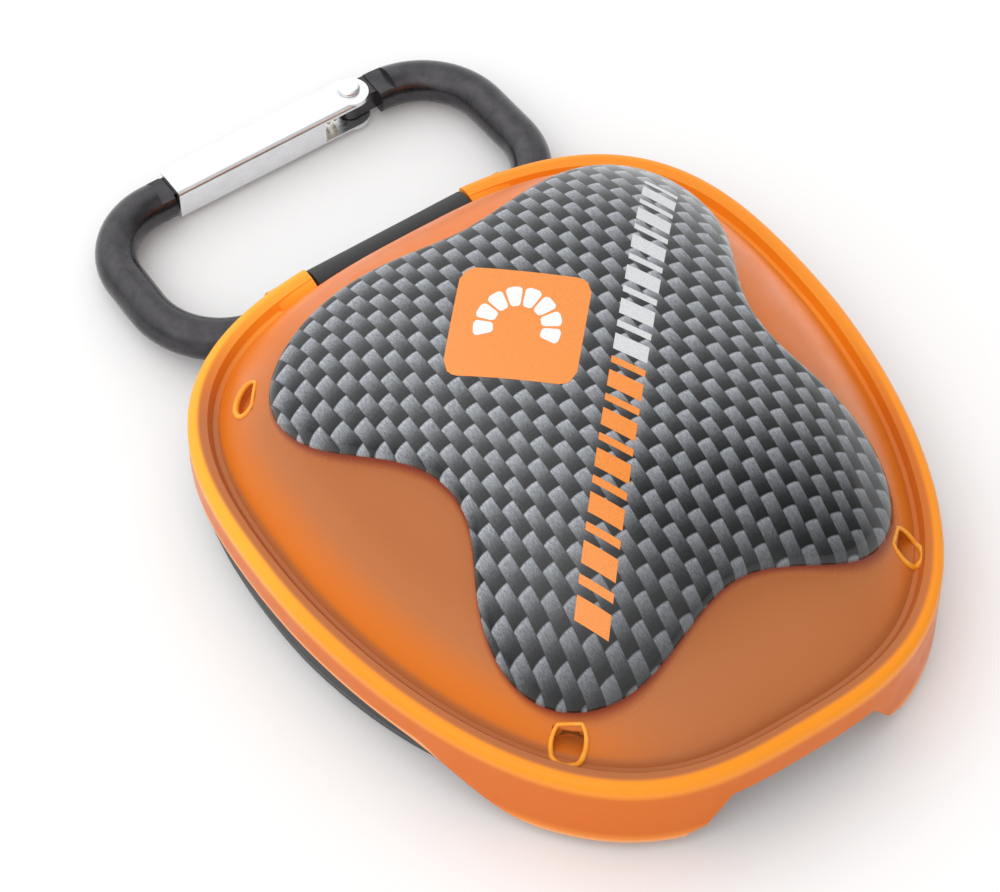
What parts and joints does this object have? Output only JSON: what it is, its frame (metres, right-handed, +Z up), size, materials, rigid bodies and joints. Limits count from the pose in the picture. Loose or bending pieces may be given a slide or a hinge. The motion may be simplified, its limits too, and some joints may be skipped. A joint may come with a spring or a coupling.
{
  "type": "mouthguard with case",
  "caption": "Hinged oval case with a domed translucent lid, a cross-shaped woven-look badge, a carabiner and a mouthguard inside.",
  "frame": {"origin": "middle of the flat underside of the bowl", "axes": "+Z up, -Y to the front with the thumb notch, +Y to the rear with the hinge and the carabiner"},
  "size_m": [0.0892, 0.1309, 0.0398],
  "materials": {
    "bowl_plastic": "fine matt black moulding",
    "lid_plastic": "frosted translucent orange",
    "badge_plastic": "black moulding",
    "badge_film": "glossy print of a woven carbon pattern",
    "steel": "plain",
    "black_anodised": "satin black anodised",
    "bright_aluminium": "bright rolled",
    "spring_brass": "drawn wire",
    "guard_rubber": "soft satin",
    "guard_gel": "glossy gel"
  },
  "bodies": {
    "bowl": {"base_shell": "bowl_plastic", "hinge_pin": "steel"},
    "lid": {"lid_shell": "lid_plastic", "badge_carrier": "badge_plastic", "badge_film": "badge_film"},
    "carabiner": {"carabiner_body": "black_anodised", "gate_rivet": "bright_aluminium"},
    "gate": {"carabiner_gate": "bright_aluminium", "gate_spring": "spring_brass"},
    "mouthguard": {"guard_shell": "guard_rubber", "guard_liner": "guard_gel"}
  },
  "joints": [
    {"name": "lid_hinge", "type": "hinge", "parent": "bowl", "child": "lid", "pos_m": [0, 0.0467, 0.0122], "axis": [-1, 0, 0], "range_deg": [0, 110]},
    {"name": "carabiner_swing", "type": "hinge", "parent": "bowl", "child": "carabiner", "pos_m": [0, 0.0487, 0.0046], "axis": [-0.9986, 0.0526, 0], "range_deg": [-25, 100]},
    {"name": "gate_pivot", "type": "hinge", "parent": "carabiner", "child": "gate", "pos_m": [0.0136, 0.07888, 0.00345], "axis": [0.002, 0.0371, 0.9993], "range_deg": [0, 25], "stiffness_Nm_per_rad": 0.02, "springref_deg": -8.59},
    {"name": "mouthguard_lift", "type": "slide", "parent": "bowl", "child": "mouthguard", "axis": [0, 0, 1], "range_m": [0, 0.006]}
  ]
}
